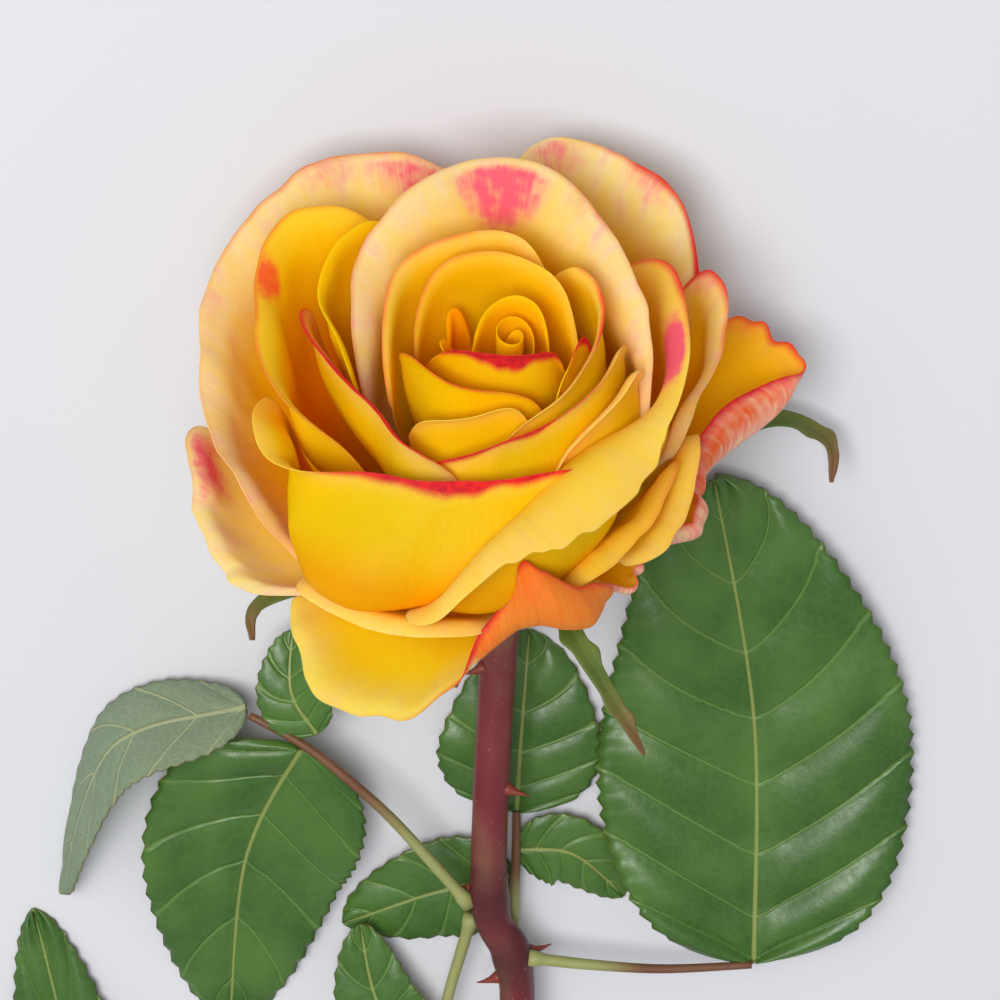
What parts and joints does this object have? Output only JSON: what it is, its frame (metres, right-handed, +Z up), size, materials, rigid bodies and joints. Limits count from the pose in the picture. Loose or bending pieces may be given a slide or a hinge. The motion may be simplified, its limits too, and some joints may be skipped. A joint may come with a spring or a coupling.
{
  "type": "cut rose",
  "caption": "Cut rose lying on its side: an open yellow and red bloom, reflexed outer petals, curled sepals, a prickly stem and compound leaves.",
  "frame": {"origin": "on the surface that it lies on, below the middle of its bounding box", "axes": "+Y along the stem towards the bloom, +X to the right seen from above with the bloom at the top, +Z up from the surface"},
  "size_m": [0.1744, 0.4084, 0.0781],
  "materials": {
    "petal": "satin",
    "leaf": "satin",
    "calyx": "matte",
    "leaf_stalk": "matte",
    "stem": "satin"
  },
  "bodies": {
    "root": {"heart_petal_inner": "petal", "heart_petal_outer": "petal", "petaloid_left": "petal", "petaloid_back": "petal", "petal_01": "petal", "petal_02": "petal", "petal_03": "petal", "petal_04": "petal", "petal_05": "petal", "petal_06": "petal", "petal_07": "petal", "petal_08": "petal", "petal_09": "petal", "petal_10": "petal", "petal_11": "petal", "petal_12": "petal", "petal_13": "petal", "petal_14": "petal", "petal_15": "petal", "petal_16": "petal", "petal_17": "petal", "petal_18": "petal", "petal_19": "petal", "petal_20": "petal", "petal_21": "petal", "petal_22": "petal", "petal_23": "petal", "petal_24": "petal", "petal_25": "petal", "petal_26": "petal", "sepal_1": "calyx", "sepal_2": "calyx", "sepal_3": "calyx", "sepal_4": "calyx", "sepal_5": "calyx", "hip": "calyx", "stem": "stem", "leaf_a_stalk": "leaf_stalk", "leaf_a_leaflet_1": "leaf", "leaf_a_leaflet_2": "leaf", "leaf_a_leaflet_3": "leaf", "leaf_b_stalk": "leaf_stalk", "leaf_b_leaflet_1": "leaf", "leaf_c_stalk": "leaf_stalk", "leaf_c_leaflet_1": "leaf", "leaf_c_leaflet_2": "leaf", "leaf_c_leaflet_3": "leaf", "leaf_d_stalk": "leaf_stalk", "leaf_d_leaflet_1": "leaf", "leaf_d_leaflet_2": "leaf", "leaf_d_leaflet_3": "leaf"}
  },
  "joints": []
}
